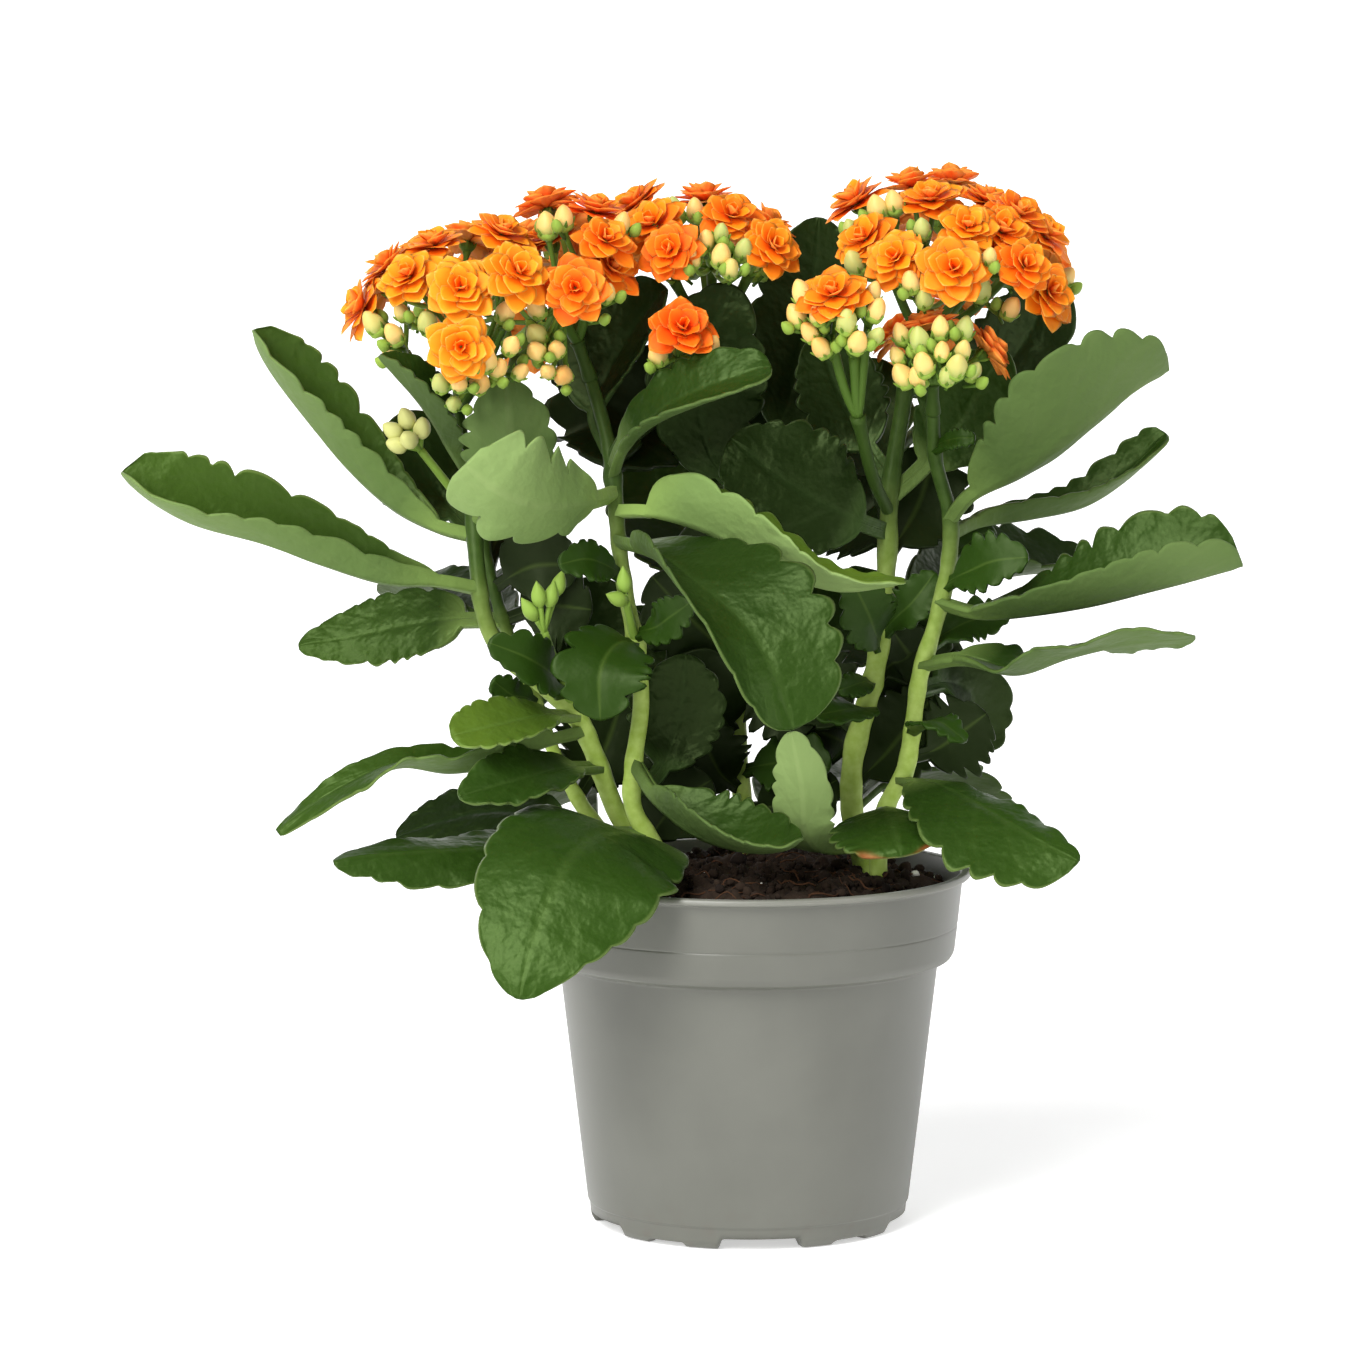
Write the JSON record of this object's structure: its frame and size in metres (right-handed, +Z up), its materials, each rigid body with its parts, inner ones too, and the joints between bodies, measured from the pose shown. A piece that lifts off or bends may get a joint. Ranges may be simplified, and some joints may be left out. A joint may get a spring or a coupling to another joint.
{
  "type": "potted flaming katy",
  "caption": "Potted flaming katy: fleshy stems with scalloped leaves and dense heads of double orange flowers, standing in soil in a round tapered nursery pot.",
  "frame": {"origin": "centre of the pot's underside, on the face it rests on", "axes": "+Z up along the pot's axis, +X to the right in the picture along the plant's widest spread, -Y towards the camera"},
  "size_m": [0.2957, 0.1678, 0.2848],
  "materials": {
    "pot": "satin",
    "soil": "matt, crumbly",
    "stem": "satin",
    "leaf": "satin, waxy",
    "flower": "soft"
  },
  "bodies": {
    "root": {"head_buds": "flower", "head_left": "flower", "head_left_inner": "flower", "head_middle": "flower", "head_rear_left": "flower", "head_rear_right": "flower", "head_right": "flower", "head_single": "flower", "head_small": "flower", "leaf_back_centre": "leaf", "leaf_back_far_right": "leaf", "leaf_back_left": "leaf", "leaf_behind_left": "leaf", "leaf_behind_low": "leaf", "leaf_behind_middle": "leaf", "leaf_behind_right": "leaf", "leaf_centre": "leaf", "leaf_centre_low": "leaf", "leaf_dark_centre": "leaf", "leaf_far_left": "leaf", "leaf_far_right": "leaf", "leaf_front_centre": "leaf", "leaf_front_left": "leaf", "leaf_front_right": "leaf", "leaf_left_inner": "leaf", "leaf_left_upright": "leaf", "leaf_long_left": "leaf", "leaf_low_left": "leaf", "leaf_low_left_back": "leaf", "leaf_lower_left": "leaf", "leaf_on_soil": "leaf", "leaf_pale_front": "leaf", "leaf_pale_left": "leaf", "leaf_pale_right": "leaf", "leaf_rear_far_left": "leaf", "leaf_rear_far_right": "leaf", "leaf_rear_left": "leaf", "leaf_rear_low": "leaf", "leaf_rear_low_left": "leaf", "leaf_rear_low_right": "leaf", "leaf_rear_middle": "leaf", "leaf_rear_right": "leaf", "leaf_rear_upper": "leaf", "leaf_right_grey": "leaf", "leaf_right_inner": "leaf", "leaf_right_low_back": "leaf", "leaf_right_upper": "leaf", "leaf_small_left": "leaf", "leaf_thin_left": "leaf", "leaf_upper_left": "leaf", "leaf_upright_pale": "leaf", "leaf_wavy_right": "leaf", "pot": "pot", "soil": "soil", "stem_back": "stem", "stem_left": "stem", "stem_left_back": "stem", "stem_left_inner": "stem", "stem_right": "stem", "stem_right_outer": "stem"}
  },
  "joints": []
}
